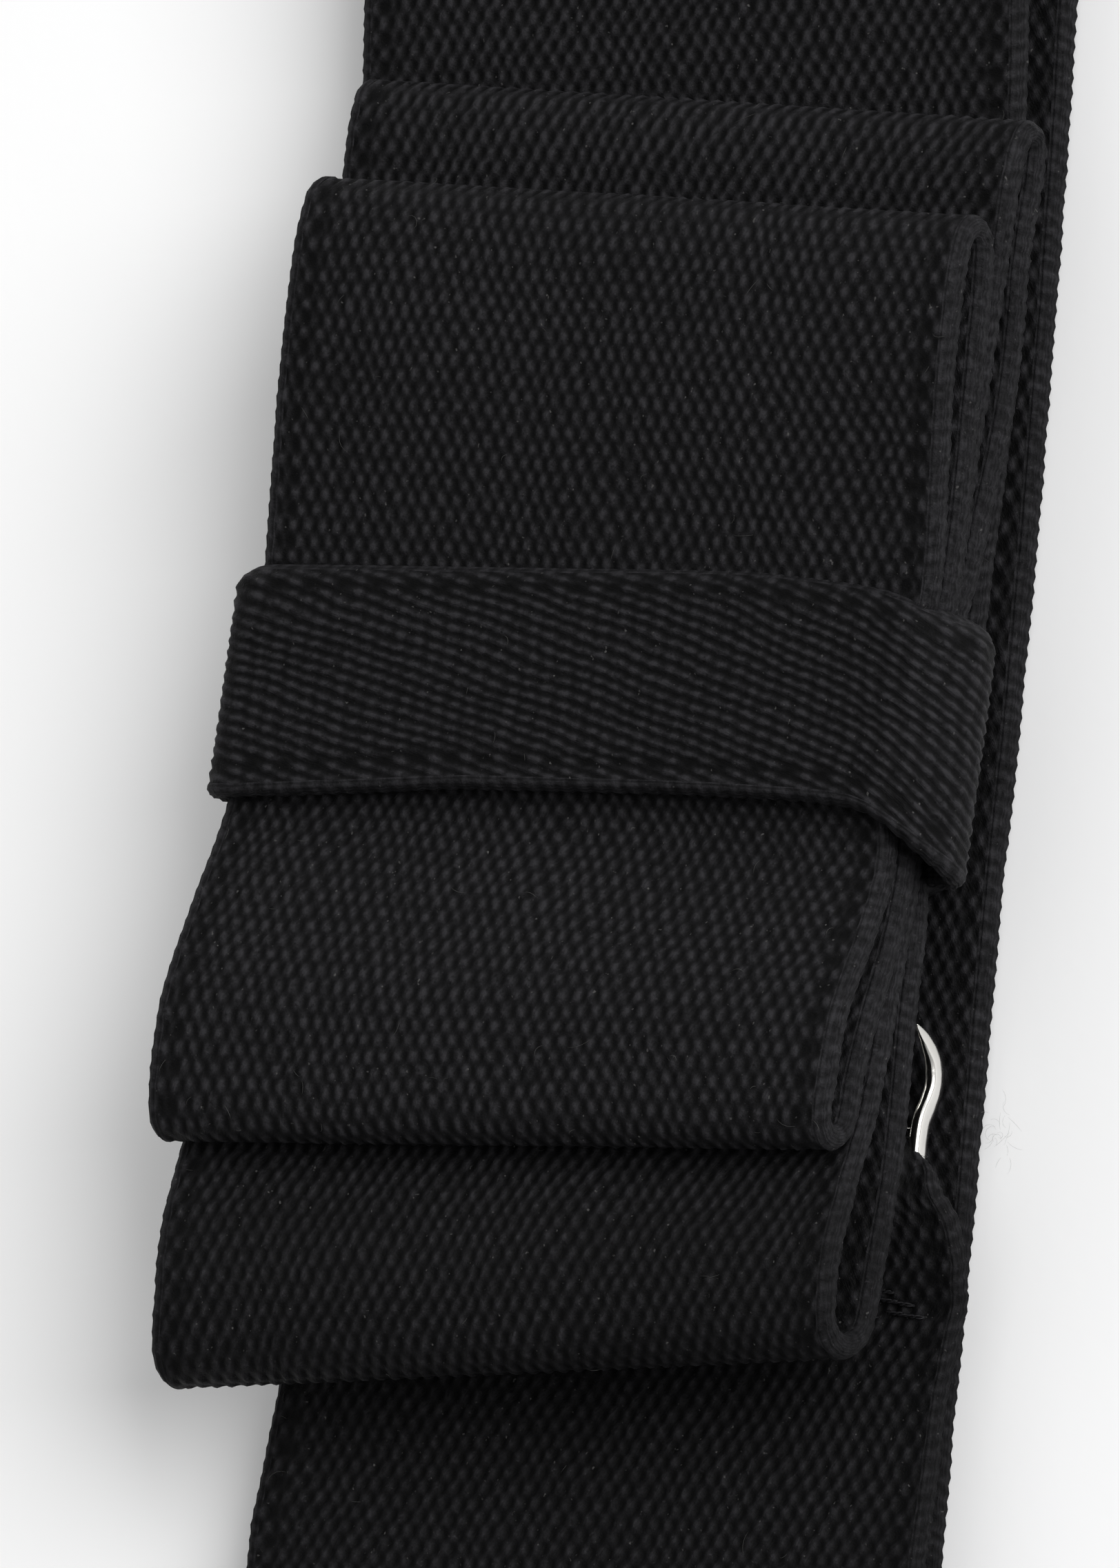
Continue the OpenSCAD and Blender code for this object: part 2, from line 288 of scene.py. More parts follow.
def mesh_from_grid(name, xyz, uv, closed):
    """A closed mesh from rows of points, each row a ring round the webbing's section."""
    n, m = xyz.shape[:2]
    rows = n if closed else n - 1
    i = np.arange(rows)[:, None]
    k = np.arange(m)[None, :]
    k2 = (k + 1) % m
    quad = np.stack([i * m + k, i * m + k2, ((i + 1) % n) * m + k2, ((i + 1) % n) * m + k], -1).reshape(-1, 4)
    uv2 = np.concatenate([uv, uv[:1] + [0, uv[-1, 0, 1] * n / (n - 1)]]) if closed else uv
    corner = np.stack([uv2[i, k], uv2[i, k2], uv2[i + 1, k2], uv2[i + 1, k]], 2).reshape(-1, 2)
    p = xyz.reshape(-1, 3)
    a, b, c, d = (p[quad[:, j]] for j in range(4))
    volume = np.einsum("ij,ij->i", a, np.cross(b, c)).sum() + np.einsum("ij,ij->i", a, np.cross(c, d)).sum()
    flipped = volume < 0
    if flipped:
        quad = quad[:, ::-1]
        corner = corner.reshape(-1, 4, 2)[:, ::-1].reshape(-1, 2)
    loops = quad.ravel()
    starts = np.arange(len(quad)) * 4
    totals = np.full(len(quad), 4)
    if not closed:
        first = np.arange(m)
        last = (n - 1) * m + np.arange(m)
        caps = (first, last[::-1]) if flipped else (first[::-1], last)
        for cap in caps:
            starts = np.r_[starts, len(loops)]
            totals = np.r_[totals, m]
            loops = np.r_[loops, cap]
            corner = np.r_[corner, uv.reshape(-1, 2)[cap]]
    mesh = bpy.data.meshes.new(name)
    mesh.vertices.add(len(p))
    mesh.vertices.foreach_set("co", (p * MM).ravel())
    mesh.loops.add(len(loops))
    mesh.loops.foreach_set("vertex_index", loops.astype(np.int32))
    mesh.polygons.add(len(starts))
    mesh.polygons.foreach_set("loop_start", starts.astype(np.int32))
    mesh.polygons.foreach_set("loop_total", totals.astype(np.int32))
    layer = mesh.uv_layers.new(name="weave")
    layer.data.foreach_set("uv", corner.astype(np.float32).ravel())
    mesh.polygons.foreach_set("use_smooth", np.ones(len(starts), bool))
    mesh.update(calc_edges=True)
    mesh.validate()
    obj = bpy.data.objects.new(name, mesh)
    bpy.context.scene.collection.objects.link(obj)
    return obj


def along_x(p, c, z):
    """The place of a point p along a path and c across it, for a path along X."""
    return p, -c, z


def turned(x, y, z):
    """A point on the bow, turned with it on the band."""
    return (x * math.cos(BOW_TURN) - y * math.sin(BOW_TURN),
            x * math.sin(BOW_TURN) + y * math.cos(BOW_TURN) + BOW_SHIFT, z)


def on_bow(p, c, z):
    """The same, for a path along the bow."""
    return turned(p, -c, z)


def round_bow(p, c, z):
    """The same, for a path across the bow, from +Y to -Y."""
    return turned(-c, -p, z)


face_grids = {}


def webbing(name, path, closed=False, fine=3, width=WEB_W, place=along_x, half=None, shift=None,
            swell=None, seed=1, thick=WEB_T, rib=RIB, row=ROW, skew=(0, 0), edge=EDGE_R, weave=WEAVE):
    """A length of woven webbing along a path: real relief on its face, corded edges, holes beside them.

    half(s, p), shift(s, p) and swell(s, p, c) change its half width, its place across and its lift.
    skew is how much longer the -p and +p ends are at one edge than in the middle."""
    ribs = round(width / rib)
    q, normal, s, length = resample(path, row / fine, closed)
    p, z = q[:, :1], q[:, 1:]
    s = s[:, None]
    across = fine * ribs
    face = np.linspace(-1, 1, across)
    back = np.linspace(1, -1, max(8, ribs // 2))
    turn = np.linspace(90, -90, 11)[1:-1] * math.pi / 180
    groove = GROOVE * np.cos(turn * 9)
    unit_c = np.r_[face, np.ones(9), back, -np.ones(9)][None, :]
    out_c = np.r_[face * 0, edge * np.cos(turn) - groove, back * 0, groove - edge * np.cos(turn)][None, :]
    side = np.r_[np.ones(across), np.sin(turn), -np.ones(len(back)), -np.sin(turn)][None, :]
    w = (half(s, p) if half else width / 2 + 0 * s) - edge
    u = (unit_c + 1) / 2 * ribs + 0 * s
    on_edge = np.abs(out_c) > 0
    beyond = np.where(on_edge, np.sign(unit_c) * (1 - np.abs(side)), 0)
    v = s / row + 0 * u
    wobble = (smooth_noise(u, v, RIB_SIZE[0], seed) * RIB_DRIFT[0]
              + smooth_noise(u, v, RIB_SIZE[1], seed + 1) * RIB_DRIFT[1])
    drift = (smooth_noise(v, u, ROW_SIZE[0], seed + 2) * ROW_DRIFT[0]
             + smooth_noise(v, u, ROW_SIZE[1], seed + 3) * ROW_DRIFT[1])
    u2 = np.where(on_edge, u + beyond, u + wobble * np.clip(np.minimum(u, ribs - u) / 3, 0, 1))
    v2 = v + drift
    h = weave_height(u2, v2, ribs, rib, weave)
    scallop = (BUMP * np.abs(np.cos(np.pi * v)) - BUMP_SINK
               + BUMP_NOISE * smooth_noise(v, v * 0, 2.5, seed + 4))
    c = unit_c * w + out_c + out_c / edge * scallop
    c = c + WAVER * smooth_noise(v, np.sign(unit_c) * 9 + 0 * v, 9, seed + 5) * np.abs(unit_c) ** 3
    relief = np.where(side > 0.99, (h - 0.6) * RELIEF, 0)
    off = side * (thick / 2) + relief
    off = off * np.where(on_edge, 0.94, 1)
    if shift:
        c = c + shift(s, p)
    if swell:
        off = off + swell(s, p, c)
    p = p * (1 + np.where(p > 0, skew[1], skew[0]) * c / (WEB_W / 2))
    pp = p + normal[:, :1] * off
    zz = z + normal[:, 1:] * off
    x, y, z3 = place(pp, c, zz)
    xyz = np.stack([x + 0 * c, y + 0 * c, z3 + 0 * c], -1)
    obj = mesh_from_grid(name, xyz, np.stack([u2 + 0 * c, v2 + 0 * c], -1), closed)
    obj["flat_mm"] = [width, length]
    face_grids[name] = xyz[:, :across]
    return obj


def fibres(name, count, seed, length=(0.3, 1.1), rise=0.06):
    """Short loose fibres lying on a webbing's face and standing off its selvedges."""
    pick = np.random.default_rng(seed)
    grid = face_grids[name]
    rows, columns = grid.shape[:2]
    lines = []
    for _ in range(count):
        i = pick.integers(1, rows - 1)
        k = pick.integers(1, columns - 1) if pick.random() < 0.85 else pick.choice([1, columns - 2])
        start = grid[i, k]
        along = unit(grid[i + 1, k] - grid[i - 1, k])
        across = unit(grid[i, k + 1] - grid[i, k - 1])
        normal = unit(np.cross(across, along))
        heading, bend = pick.uniform(0, 2 * math.pi), pick.normal(0, 1.6)
        t = np.linspace(0, 1, 6)
        size = pick.uniform(*length)
        angle = heading + bend * t
        step_a, step_b = np.cos(angle), np.sin(angle)
        a = np.r_[0, np.cumsum(step_a[:-1])] * size / 5
        b = np.r_[0, np.cumsum(step_b[:-1])] * size / 5
        lift = 0.02 + rise * np.sin(math.pi * t) * pick.uniform(0.3, 1.6)
        lines.append(start + a[:, None] * along + b[:, None] * across + lift[:, None] * normal)
    return lines


def with_fibres(obj, lines, material, fine=1.0):
    """Joins loose fibres to a piece's mesh."""
    loose = tubes(obj.name + "_fibres", lines, fine * FIBRE_R, 3)
    loose.data.uv_layers.new(name="weave")
    paint(loose, material)
    bpy.ops.object.select_all(action="DESELECT")
    loose.select_set(True)
    obj.select_set(True)
    bpy.context.view_layer.objects.active = obj
    bpy.ops.object.join()


def tubes(name, lines, radius, sides=5):
    """One mesh of thin tubes along the lines, each an (n, 3) array in millimetres."""
    verts, faces = [], []
    turn = np.linspace(0, 2 * math.pi, sides, endpoint=False)
    for line in lines:
        line = np.asarray(line, float)
        tangent = np.gradient(line, axis=0)
        tangent /= np.linalg.norm(tangent, axis=1)[:, None] + 1e-12
        side = np.cross(tangent, (0.13, 0.31, 0.94))
        side /= np.linalg.norm(side, axis=1)[:, None] + 1e-12
        top = np.cross(side, tangent)
        r = np.broadcast_to(radius, len(line))[:, None, None]
        ring = line[:, None] + r * (np.cos(turn)[None, :, None] * side[:, None]
                                    + np.sin(turn)[None, :, None] * top[:, None])
        base = sum(len(v) for v in verts)
        i = np.arange(len(line) - 1)[:, None] * sides + base
        k, k2 = np.arange(sides), (np.arange(sides) + 1) % sides
        faces += np.stack([i + k, i + k2, i + sides + k2, i + sides + k], -1).reshape(-1, 4).tolist()
        faces.append((base + k[::-1]).tolist())
        faces.append((base + (len(line) - 1) * sides + k).tolist())
        verts.append(ring.reshape(-1, 3))
    mesh = bpy.data.meshes.new(name)
    mesh.from_pydata((np.vstack(verts) * MM).tolist(), [], faces)
    mesh.polygons.foreach_set("use_smooth", np.ones(len(mesh.polygons), bool))
    obj = bpy.data.objects.new(name, mesh)
    bpy.context.scene.collection.objects.link(obj)
    return obj


# ---------------------------------------------------------------- materials

class Nodes:
    """A short way to write a node tree's sums."""

    def __init__(self, name):
        self.material = bpy.data.materials.new(name)
        self.material.use_nodes = True
        self.tree = self.material.node_tree
        self.shader = self.tree.nodes["Principled BSDF"]

    def add(self, kind, **inputs):
        node = self.tree.nodes.new(kind)
        for key, value in inputs.items():
            self.put(node.inputs[key.replace("_", " ")], value)
        return node

    def put(self, socket, value):
        if isinstance(value, bpy.types.NodeSocket):
            self.tree.links.new(value, socket)
        else:
            socket.default_value = value

    def sum(self, operation, *values, clamp=False):
        node = self.tree.nodes.new("ShaderNodeMath")
        node.operation = operation
        node.use_clamp = clamp
        for socket, value in zip(node.inputs, values):
            self.put(socket, value)
        return node.outputs[0]

    def mix(self, factor, a, b):
        node = self.tree.nodes.new("ShaderNodeMix")
        node.data_type = "RGBA"
        self.put(node.inputs["Factor"], factor)
        self.put(node.inputs[6], a)
        self.put(node.inputs[7], b)
        return node.outputs[2]

    def noise(self, vector, scale, detail=2.0, rough=0.5):
        node = self.add("ShaderNodeTexNoise", Scale=scale, Detail=detail, Roughness=rough)
        self.tree.links.new(vector, node.inputs["Vector"])
        return node.outputs["Fac"]

    def bump(self, height, distance, strength):
        node = self.add("ShaderNodeBump", Height=height, Distance=distance, Strength=strength)
        self.tree.links.new(node.outputs[0], self.shader.inputs["Normal"])


def webbing_material(name, ribs, rib, beads, tone=1.0, weave=WEAVE):
    """Woven elastic: ribs that lean, holes between them with painted shade, hairy filaments, specks of dust
    and painted glints on the beads.

    beads is how beaded its selvedge cord is, and tone how pale it is."""
    n = Nodes(name)
    uv = n.tree.nodes.new("ShaderNodeUVMap")
    uv.uv_map = "weave"
    split = n.add("ShaderNodeSeparateXYZ", Vector=uv.outputs[0])
    u, v = split.outputs[0], split.outputs[1]
    turns = n.sum("SUBTRACT", u, n.sum("MULTIPLY", v, LEAN))
    rising = n.sum("COSINE", n.sum("MULTIPLY", turns, 2 * math.pi))
    falling = n.sum("COSINE", n.sum("MULTIPLY", n.sum("MULTIPLY_ADD", v, 1 - LEAN, u), 2 * math.pi))
    rows = n.sum("COSINE", n.sum("MULTIPLY", v, 2 * math.pi))
    h = n.sum("MULTIPLY_ADD", falling, weave[1], n.sum("MULTIPLY_ADD", rows, weave[2], 0.5))
    h = n.sum("MULTIPLY_ADD", rising, weave[0], h)
    edge = n.sum("MULTIPLY", n.sum("MINIMUM", u, n.sum("SUBTRACT", float(ribs), u)), rib)
    near_hole = n.sum("DIVIDE", n.sum("SUBTRACT", edge, HOLE), HOLE_R)
    hole = n.sum("EXPONENT", n.sum("MULTIPLY", n.sum("MULTIPLY", near_hole, near_hole), -1.0))
    beat = n.sum("MULTIPLY_ADD", n.sum("COSINE", n.sum("MULTIPLY", v, math.pi)), 0.5, 0.5)
    hole = n.sum("MULTIPLY", hole, n.sum("POWER", beat, 1.5))
    h = n.sum("MULTIPLY", h, n.sum("MULTIPLY_ADD", hole, -0.95, 1.0))
    bead = n.sum("COSINE", n.sum("MULTIPLY_ADD", edge, 3.0, n.sum("MULTIPLY", v, 2 * math.pi)))
    cord = n.sum("MULTIPLY_ADD", n.sum("COSINE", n.sum("MULTIPLY", edge, 2 * math.pi / EDGE_LINE)), 0.1,
                 n.sum("MULTIPLY_ADD", bead, beads, 0.76 - beads))
    is_cord = n.sum("LESS_THAN", edge, CORD)
    h = n.sum("MULTIPLY_ADD", n.sum("SUBTRACT", cord, h), is_cord, h)

    # Filaments run along the ribs' lean, so their noise is stretched that way
    stretched = n.add("ShaderNodeCombineXYZ", X=n.sum("MULTIPLY", turns, 7.0),
                      Y=n.sum("MULTIPLY", v, 1.3), Z=0.0)
    along = n.add("ShaderNodeCombineXYZ", X=n.sum("MULTIPLY", edge, 14.0), Y=n.sum("MULTIPLY", v, 0.8), Z=0.0)
    filament = n.noise(stretched.outputs[0], 1.0, 3.0, 0.6)
    edging = n.noise(along.outputs[0], 1.0, 3.0, 0.6)
    filament = n.sum("MULTIPLY_ADD", n.sum("SUBTRACT", edging, filament), is_cord, filament)
    fibre = n.noise(uv.outputs[0], 9.0, 2.0, 0.6)
    patch = n.noise(uv.outputs[0], 0.9, 2.0, 0.6)
    broad = n.noise(uv.outputs[0], 0.07, 2.0, 0.5)

    # Painted shade: the colour follows the weave's height, so its holes and hollows are painted darker than
    # its beads
    lift = n.sum("MULTIPLY", n.sum("POWER", h, 1.7), n.sum("MULTIPLY_ADD", patch, 1.7, 0.1))
    lift = n.sum("MULTIPLY", lift, n.sum("MULTIPLY_ADD", filament, 1.2, 0.4))
    lift = n.sum("MULTIPLY", lift, n.sum("MULTIPLY_ADD", broad, 0.6, 0.7))
    place_of = n.tree.nodes.new("ShaderNodeTexCoord").outputs["Object"]
    place = n.add("ShaderNodeSeparateXYZ", Vector=place_of).outputs[0]
    mottle = n.noise(place_of, 3400.0, 3.0, 0.7)
    lift = n.sum("MULTIPLY", lift, n.sum("MULTIPLY_ADD", n.sum("SUBTRACT", mottle, 0.5), 3.4, 1.0))

    # Painted shade: paler above x = -16 mm than below x = -20 mm, where the bow's folds shade the lower
    # tier's end and the band's hook end
    above = n.sum("MULTIPLY_ADD", place, 1 / (4 * MM), 20 / 4, clamp=True)
    lift = n.sum("MULTIPLY", lift, n.sum("MULTIPLY_ADD", above, 0.44 * tone, 0.6 * tone))
    # Painted glints: bright specks put in the colour on the beads, standing for light caught there
    painted_glint = n.noise(uv.outputs[0], 3.1, 1.0, 0.5)
    painted_glint = n.sum("MULTIPLY", n.sum("SUBTRACT", painted_glint, 0.69), 14.0, clamp=True)
    lift = n.sum("MULTIPLY_ADD", n.sum("MULTIPLY", painted_glint, h), 0.7, lift, clamp=True)
    colour = n.mix(lift, (0.0010, 0.0010, 0.0011, 1), (0.0195, 0.0190, 0.0210, 1))
    dust = n.sum("MULTIPLY", n.sum("SUBTRACT", n.noise(place_of, 4800.0, 1.0), 0.735), 12.0, clamp=True)
    n.put(n.shader.inputs["Base Color"], n.mix(dust, colour, (0.050, 0.049, 0.048, 1)))
    n.put(n.shader.inputs["Roughness"], n.sum("MULTIPLY_ADD", fibre, 0.25, 0.55))
    n.shader.inputs["Specular IOR Level"].default_value = 0.07
    n.shader.inputs["Sheen Weight"].default_value = 0.012
    n.shader.inputs["Sheen Roughness"].default_value = 0.45
    n.shader.inputs["Sheen Tint"].default_value = (0.8, 0.8, 0.85, 1)
    height = n.sum("ADD", h, n.sum("MULTIPLY", filament, 0.4))
    height = n.sum("ADD", height, n.sum("MULTIPLY", fibre, 0.22))
    height = n.sum("ADD", height, n.sum("MULTIPLY", mottle, 0.5))
    n.bump(height, 0.13 * MM, 0.9)
    return n.material


def thread_material():
    """Twisted black polyester thread with a slight gloss."""
    n = Nodes("thread")
    place = n.tree.nodes.new("ShaderNodeTexCoord")
    twist = n.add("ShaderNodeTexWave", Scale=2600.0, Distortion=1.5, Detail=1.0)
    n.put(twist.inputs["Vector"], place.outputs["Object"])
    fuzz = n.noise(place.outputs["Object"], 9000.0, 2.0)
    colour = n.mix(twist.outputs["Fac"], (0.003, 0.003, 0.0035, 1), (0.014, 0.0135, 0.015, 1))
    n.put(n.shader.inputs["Base Color"], colour)
    n.put(n.shader.inputs["Roughness"], n.sum("MULTIPLY_ADD", fuzz, 0.3, 0.35))
    n.shader.inputs["Specular IOR Level"].default_value = 0.12
    n.bump(n.sum("ADD", twist.outputs["Fac"], fuzz), 0.05 * MM, 0.6)
    return n.material


def nickel_material():
    """Bright nickel plate with fine rolling marks and a few duller patches."""
    n = Nodes("nickel")
    place = n.tree.nodes.new("ShaderNodeTexCoord")
    stretch = n.add("ShaderNodeMapping", Vector=place.outputs["Object"])
    stretch.inputs["Scale"].default_value = (900.0, 90.0, 900.0)
    marks = n.noise(stretch.outputs[0], 1.0, 4.0, 0.6)
    patches = n.noise(place.outputs["Object"], 260.0, 2.0)
    n.put(n.shader.inputs["Base Color"], n.mix(patches, (0.86, 0.85, 0.82, 1), (0.70, 0.68, 0.64, 1)))
    n.shader.inputs["Metallic"].default_value = 1.0
    n.put(n.shader.inputs["Roughness"], n.sum("MULTIPLY_ADD", patches, 0.16, 0.08))
    n.bump(marks, 0.012 * MM, 0.5)
    return n.material


def fibre_material(name, dark, pale):
    """Fine loose fibres, paler than the cloth where they catch the light."""
    n = Nodes(name)
    place = n.tree.nodes.new("ShaderNodeTexCoord")
    tone = n.noise(place.outputs["Object"], 700.0, 2.0)
    n.put(n.shader.inputs["Base Color"], n.mix(tone, (dark, dark, dark, 1), (pale, pale, 0.95 * pale, 1)))
    n.shader.inputs["Roughness"].default_value = 0.6
    n.shader.inputs["Specular IOR Level"].default_value = 0.2
    return n.material


def floor_material():
    """Pale matt paper, with painted light: a little paler beyond the bow's +Y side."""
    n = Nodes("paper")
    place = n.tree.nodes.new("ShaderNodeTexCoord")
    grain = n.noise(place.outputs["Object"], 1200.0, 3.0)
    cloud = n.noise(place.outputs["Object"], 6.0, 2.0)
    y = n.add("ShaderNodeSeparateXYZ", Vector=place.outputs["Object"]).outputs[1]
    # Painted light: the paper's colour grows paler towards +Y, standing in for brighter light there
    pale = n.sum("MULTIPLY_ADD", y, 1 / (45 * MM), 0.55, clamp=True)
    tone = n.sum("MULTIPLY_ADD", cloud, 0.2, n.sum("MULTIPLY", pale, 0.8))
    n.put(n.shader.inputs["Base Color"], n.mix(tone, (0.815, 0.815, 0.82, 1), (0.865, 0.865, 0.865, 1)))
    n.shader.inputs["Roughness"].default_value = 0.85
    n.shader.inputs["Specular IOR Level"].default_value = 0.2
    n.bump(grain, 0.02 * MM, 0.3)
    return n.material


def paint(obj, material):
    obj.data.materials.clear()
    obj.data.materials.append(material)


cloth = webbing_material("webbing", RIBS, RIB, 0.16)
lower_cloth = webbing_material("lower_webbing", round(BOW_W / RIB), RIB, 0.1, weave=LOWER_WEAVE)
upper_cloth = webbing_material("upper_webbing", round(BOW_W / RIB), RIB, 0.1, weave=UPPER_WEAVE)
wrap_cloth = webbing_material("wrap_webbing", round(WRAP_W / WRAP_RIB), WRAP_RIB, 0.15,
                              tone=1.13, weave=WRAP_WEAVE)
thread = thread_material()
fibre = fibre_material("fibre", 0.008, 0.07)
lint = fibre_material("lint", 0.14, 0.3)
nickel = nickel_material()


# ---------------------------------------------------------------- the band

def near(p, centre, spread):
    return np.exp(-((p - centre) / spread) ** 2)


def step_between(p, a, b):
    t = np.clip((p - a) / (b - a), 0, 1)
    return t * t * (3 - 2 * t)


def band_bend(s, p):
    """The soft band lies a little curved, so its lower half stands toward +Y."""
    return -np.interp(p, (-85, -32, -16, -3, 9, 30, 85), (1.7, 1.55, 1.2, 0.75, 0.35, 0.15, 0))


back = webbing("band_back_layer", back_path(), fine=2, shift=band_bend, seed=11,
               swell=lambda s, p, c: -0.08 + 0 * c)
paint(back, cloth)

# A tuft of curled lint beside the hook
TUFT = (-14.9, -14.9, 0.7)
TUFT_SPREAD = (0.6, 0.35, 0.12)
TUFT_CURLS = 22
lines = []
for _ in range(TUFT_CURLS):
    t = np.linspace(0, 1, 6)
    turn = rng.uniform(0, 2 * math.pi) + rng.normal(0, 2.2) * t
    hop = rng.uniform(0.08, 0.2)
    start = np.array(TUFT) + rng.normal(0, TUFT_SPREAD)
    curl = np.stack([np.cumsum(np.cos(turn)) * hop, np.cumsum(np.sin(turn)) * hop, 0.1 * t], -1)
    lines.append(start + curl)
with_fibres(back, lines, lint, 0.4)
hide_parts("neck_webbing")
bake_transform(back)


def tail_shift(s, p):
    """Set over at the hook, and curved with the band towards the far end."""
    return (-TAIL_SHIFT * step_between(p, -78, -34)
            - np.interp(p, (-85, -32, -26, -22.5, -19), (1.7, 1.7, 1.3, 0.6, 0)) + 0 * s)


def tail_half(s, p):
    """Full width up to the bar-tack, drawn in at the fold round the hook's bar, narrow under it."""
    return np.interp(s, TAIL_AT + TAIL_TURN_S, TAIL_HALF)


def tail_swell(s, p, c):
    """The bar-tack pulls the upper ply down, and the fold round the bar bulges between its ends."""
    nose = 0.9 * near(s - TAIL_TURN_S, 1.6, 1.4) * step_between(-np.abs(c), -13.1, -11.6)
    tacked = 0.35 * near(p, -22.3, 0.8) * (s < TAIL_TURN_S)
    return nose - tacked - 0.25 * (np.abs(c) / 14) ** 4 * near(p, -18.5, 2.5)


TAIL = tail_path()

# How far along the tail its top ply gets to the bar, and its half width from there
TAIL_TURN_S = sum(math.dist(a, b) for a, b in zip(TAIL, TAIL[1:]) if a[0] < HOOK_BAR[0] and b[0] > a[0])
TAIL_AT = np.array([-40, -14, -8, -4.4, -2.8, -1, 0, 0.9, 1.7, 2.6, 4.5, 8])
TAIL_HALF = np.array([15, 15.5, 15.3, 15.05, 15.0, 14.4, 13.85, 13.5, 12.8, 11.1, 11.1, 12.6])
tail = webbing("hook_end_webbing", TAIL, half=tail_half, swell=tail_swell, seed=21,
               shift=tail_shift, thick=THIN_T, edge=THIN_EDGE_R)
paint(tail, cloth)
with_fibres(tail, fibres("hook_end_webbing", 70, 22), fibre)
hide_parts("hook_end_strap", "far_end_fold")
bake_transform(tail)


def strap_drawn(s, p):
    """How far the strap's -Y edge is drawn in under the wrap, most in the ply that ends there."""
    return np.where(s > 11, np.interp(p, (-7.6, -6, 0, 5, 9, 14), (0, 0.5, 0.5, 0.35, 0.2, 0)), 1.3)


def strap_half(s, p):
    return (WEB_W / 2 + 0.33 * near(p, 28, 14) - strap_drawn(s, p) / 2
            + (RING_END_W / 2 - 0.05 - WEB_W / 2) * step_between(-p, 5, 7.6))


def strap_shift(s, p):
    """Over towards +Y under the bow, with the curve of the band, but in line at the ring."""
    return (-0.33 * near(p, 28, 14) - np.interp(p, (-7.6, -5.5, 0, 9, 20), (0, 0.8, 0.8, 0.6, 0))
            - strap_drawn(s, p) / 2)


strap = webbing("front_webbing", strap_path(), half=strap_half, seed=31, shift=strap_shift)
paint(strap, cloth)
with_fibres(strap, fibres("front_webbing", 70, 32), fibre)
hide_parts("front_strap")
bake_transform(strap)


# ---------------------------------------------------------------- the bow

def reaching(at, left, right, tuck_top, tuck_low, reach):
    """How far a tier's webbing reaches to each side of the bow's middle line, at places along the bow.

    Where the wrap grips it, its -Y edge is drawn in by tuck_top on the top ply and tuck_low on the other."""
    def edges(s, p):
        middle = s.max() / 2
        on_top = step_between(-np.abs(s - middle), -reach, 2 - reach)
        tuck = (tuck_low + (tuck_top - tuck_low) * on_top) * near(p, 0, 4.5)
        return np.interp(p, at, left), np.interp(p, at, right) - tuck

    def half(s, p):
        to_left, to_right = edges(s, p)
        return (to_left + to_right) / 2

    def shift(s, p):
        to_left, to_right = edges(s, p)
        return (to_right - to_left) / 2

    return {"half": half, "shift": shift}


lower_sides = reaching((-26, -22.7, -19.5, -16, -10, 0, 10, 25),
                       (15.1, 15.2, 15.8, 16.05, 15.8, 15.5, 15.5, 15.8),
                       (15.7, 15.6, 15.5, 15.3, 15.0, 14.9, 14.9, 15.5), 0.4, 1.6, 25)
lower = webbing("lower_tier_webbing", lower_path(), closed=True, place=on_bow, width=BOW_W, seed=41,
                skew=(-0.085, -0.005), **lower_sides, weave=LOWER_WEAVE)
paint(lower, lower_cloth)
with_fibres(lower, fibres("lower_tier_webbing", 90, 42), fibre)
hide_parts("lower_tier")
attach(lower, "bow")

upper_sides = reaching((-17, -12, -5, 0, 6, 14, 21), (15.8, 16.1, 16.0, 15.8, 15.7, 15.5, 15.4),
                       (15.2, 15.2, 15.3, 15.4, 15.5, 15.4, 15.4), 1.2, 0.6, 20)
upper = webbing("upper_tier_webbing", upper_path(), closed=True, place=on_bow, width=BOW_W, seed=51,
                skew=(-0.075, 0.0), **upper_sides, weave=UPPER_WEAVE)
paint(upper, upper_cloth)
with_fibres(upper, fibres("upper_tier_webbing", 130, 52), fibre)
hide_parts("upper_tier")
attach(upper, "bow")

# Half width and place across, at shares of the way round from under the bow: the +Y side is at 0.25,
# the top from 0.3 to 0.7 and the -Y side at 0.75
WRAP_AT = (0, 0.22, 0.30, 0.357, 0.45, 0.55, 0.61, 0.667, 0.698, 0.715, 0.735, 0.768, 0.82, 1)
WRAP_HALF = (4.3, 4.5, 4.9, 4.78, 4.63, 4.63, 4.65, 4.53, 4.43, 4.5, 4.88, 5.2, 4.7, 4.3)
WRAP_SHIFT = (0, -0.2, -0.6, -0.98, -1.53, -1.93, -2.15, -2.13, -2.03, -1.5, -0.88, -0.3, 0, 0)


def round_wrap(values):
    """The values at WRAP_AT as a function of the way round, with the corners between them eased."""
    def at(s, p):
        t = s / s.max()
        return sum(np.interp(t + d, WRAP_AT, values) for d in (-0.012, -0.006, 0, 0.006, 0.012)) / 5

    return at


def wrap_swell(s, p, c):
    """Its upper edge sinks into the plies under it."""
    t = s / s.max()
    on_top = step_between(t, 0.2, 0.3) * step_between(-t, -0.82, -0.72)
    inside = c - round_wrap(WRAP_SHIFT)(s, p) + round_wrap(WRAP_HALF)(s, p)
    return -1.3 * np.clip(1 - inside / 1.0, 0, 1) ** 1.5 * on_top


wrap = webbing("wrap_webbing", wrap_path(), closed=True, place=round_bow, width=WRAP_W, seed=61,
               rib=WRAP_RIB, row=WRAP_ROW, half=round_wrap(WRAP_HALF), shift=round_wrap(WRAP_SHIFT),
               swell=wrap_swell, thick=THIN_T, edge=WRAP_EDGE_R, weave=WRAP_WEAVE)
paint(wrap, wrap_cloth)
with_fibres(wrap, fibres("wrap_webbing", 12, 62, length=(0.3, 0.7)), fibre)
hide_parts("centre_wrap")
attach(wrap, "bow")


# ---------------------------------------------------------------- thread and metal

THREAD_R = 0.1
STRAND_R = THREAD_R * 0.56
TWIST = 0.55
STITCH_RISE, STITCH_SINK = 0.03, 0.35


